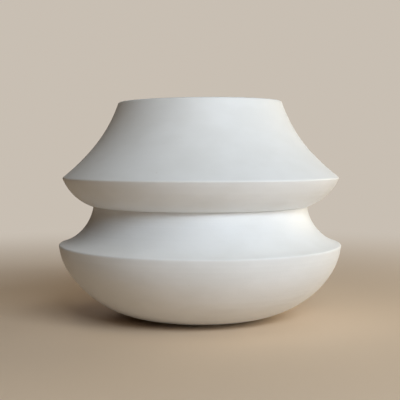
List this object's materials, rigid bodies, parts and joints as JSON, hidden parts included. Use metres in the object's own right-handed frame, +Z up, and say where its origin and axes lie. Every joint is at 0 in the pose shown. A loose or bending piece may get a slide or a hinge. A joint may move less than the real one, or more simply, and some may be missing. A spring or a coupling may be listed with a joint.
{
  "type": "vase",
  "caption": "Round tiered ceramic vase with a flared neck over ridged, cushion-like tiers and a creased waist; it stands on its foot and holds cut flowers in water.",
  "frame": {"origin": "centre of the flat sole of the foot ring, on the surface that the vase stands on", "axes": "+Z up along the axis that the vase is thrown on; the vase is round, so +X and +Y are free, and -Y faces the camera of the reference view"},
  "size_m": [0.2004, 0.2004, 0.1527],
  "materials": {
    "matt_white": "matt",
    "inside_glaze": "gloss",
    "bare_clay": "unglazed"
  },
  "bodies": {
    "root": {"neck": "matt_white", "upper_bowl": "matt_white", "lower_shoulder": "matt_white", "base_bowl": "matt_white", "upper_ridge_coil": "inside_glaze", "waist_coil": "inside_glaze", "lower_ridge_coil": "inside_glaze", "foot_ring": "bare_clay"}
  },
  "joints": []
}
